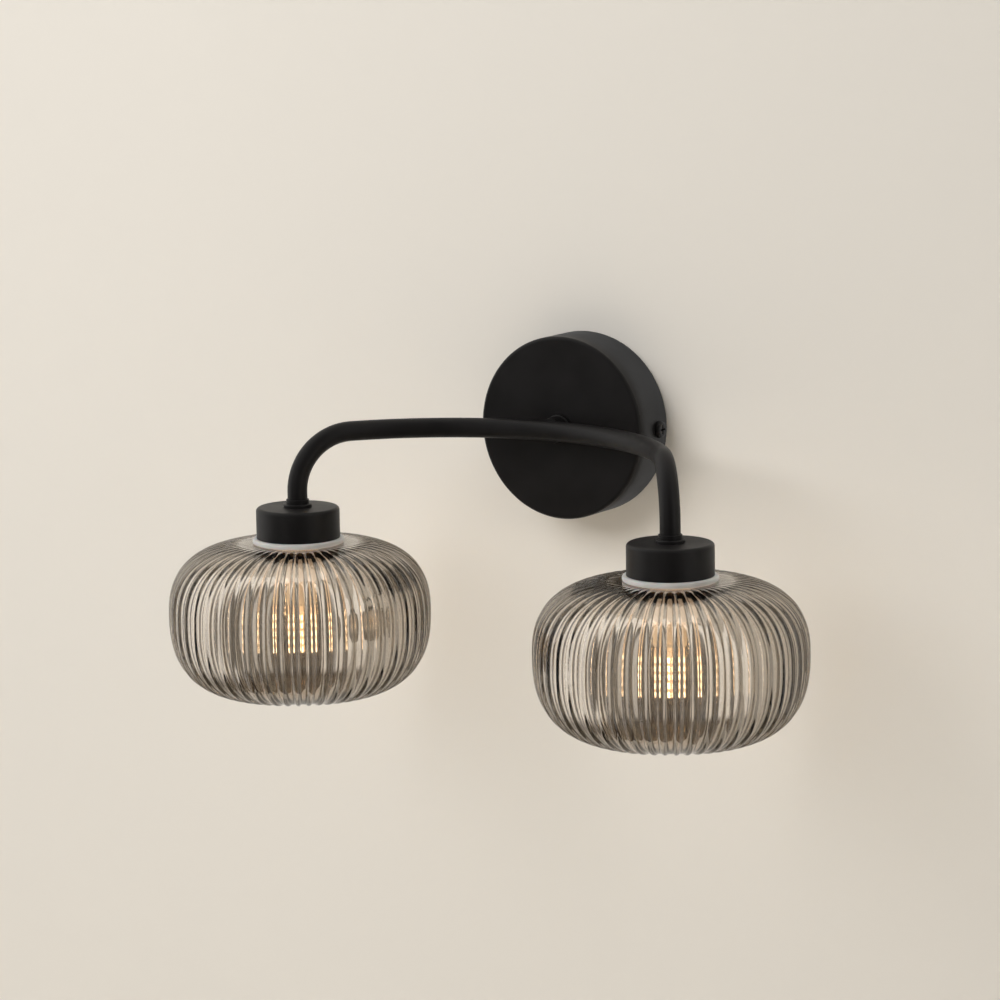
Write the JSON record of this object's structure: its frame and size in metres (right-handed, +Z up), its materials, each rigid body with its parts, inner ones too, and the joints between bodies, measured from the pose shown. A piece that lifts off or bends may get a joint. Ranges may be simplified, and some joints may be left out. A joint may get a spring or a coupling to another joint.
{
  "type": "double arm wall sconce",
  "caption": "Wall sconce with a round canopy, a bowed tube arm and hanging ribbed glass globes that unscrew from cups over pull-out pin-base lamps.",
  "frame": {"origin": "centre of the canopy's back, on the wall's surface", "axes": "+X along the wall to the viewer's right, +Y into the wall, +Z up"},
  "size_m": [0.3734, 0.1852, 0.1913],
  "materials": {
    "black_paint": "matte",
    "zinc_steel": "satin",
    "brass": "satin",
    "plated_screws": "satin",
    "lamp_pins": "satin",
    "terminal_plastic": "matte",
    "ceramic": "glazed",
    "lamp_base_plastic": "matte",
    "lamp_board": "satin",
    "light_chips": "matte",
    "lamp_cover": "clear",
    "smoked_glass": "ribbed, smoked and half mirrored",
    "silicone": "matte",
    "wall_seal": "matte",
    "lead_sleeve": "matte",
    "earth_sleeve": "matte"
  },
  "bodies": {
    "root": {"arm_collar_left": "black_paint", "arm_collar_right": "black_paint", "arm_tube": "black_paint", "canopy": "black_paint", "canopy_collar": "black_paint", "canopy_nipple": "zinc_steel", "canopy_nut": "zinc_steel", "canopy_washer": "zinc_steel", "cup_left": "black_paint", "cup_right": "black_paint", "earth_lead": "earth_sleeve", "earth_screw": "brass", "earth_tongue": "brass", "earth_washer": "brass", "holder_contacts_left": "brass", "holder_contacts_right": "brass", "holder_nipple_left": "zinc_steel", "holder_nipple_right": "zinc_steel", "lampholder_left": "ceramic", "lampholder_right": "ceramic", "lead_left": "lead_sleeve", "lead_right": "lead_sleeve", "lock_nut_left": "zinc_steel", "lock_nut_right": "zinc_steel", "mounting_bracket": "zinc_steel", "side_screws": "black_paint", "stem_hub": "black_paint", "terminal_block": "terminal_plastic", "terminal_contacts": "brass", "terminal_screws": "plated_screws", "wall_gasket": "wall_seal"},
    "seal_left": {"globe_gasket_left": "silicone"},
    "shade_left": {"globe_shade_left": "smoked_glass"},
    "bulb_left": {"lamp_base_left": "lamp_base_plastic", "lamp_pins_left": "lamp_pins", "lamp_board_left": "lamp_board", "lamp_chips_left": "light_chips", "lamp_cover_left": "lamp_cover"},
    "seal_right": {"globe_gasket_right": "silicone"},
    "shade_right": {"globe_shade_right": "smoked_glass"},
    "bulb_right": {"lamp_base_right": "lamp_base_plastic", "lamp_pins_right": "lamp_pins", "lamp_board_right": "lamp_board", "lamp_chips_right": "light_chips", "lamp_cover_right": "lamp_cover"}
  },
  "joints": [
    {"name": "globe_travel_left", "type": "slide", "parent": "root", "child": "seal_left", "axis": [0, 0, -1], "range_m": [0, 0.008]},
    {"name": "globe_turn_left", "type": "hinge", "parent": "seal_left", "child": "shade_left", "pos_m": [-0.1155, -0.11394, -0.098], "axis": [0, 0, -1], "range_deg": [0, 720]},
    {"name": "lamp_pull_left", "type": "slide", "parent": "root", "child": "bulb_left", "axis": [0, 0, -1], "range_m": [0, 0.01]},
    {"name": "globe_travel_right", "type": "slide", "parent": "root", "child": "seal_right", "axis": [0, 0, -1], "range_m": [0, 0.008]},
    {"name": "globe_turn_right", "type": "hinge", "parent": "seal_right", "child": "shade_right", "pos_m": [0.1155, -0.11394, -0.098], "axis": [0, 0, -1], "range_deg": [0, 720]},
    {"name": "lamp_pull_right", "type": "slide", "parent": "root", "child": "bulb_right", "axis": [0, 0, -1], "range_m": [0, 0.01]}
  ],
  "couplings": [
    {"joint": "globe_travel_left", "follows": "globe_turn_left", "m_per_rad": 0.00063661},
    {"joint": "globe_travel_right", "follows": "globe_turn_right", "m_per_rad": 0.00063661}
  ]
}
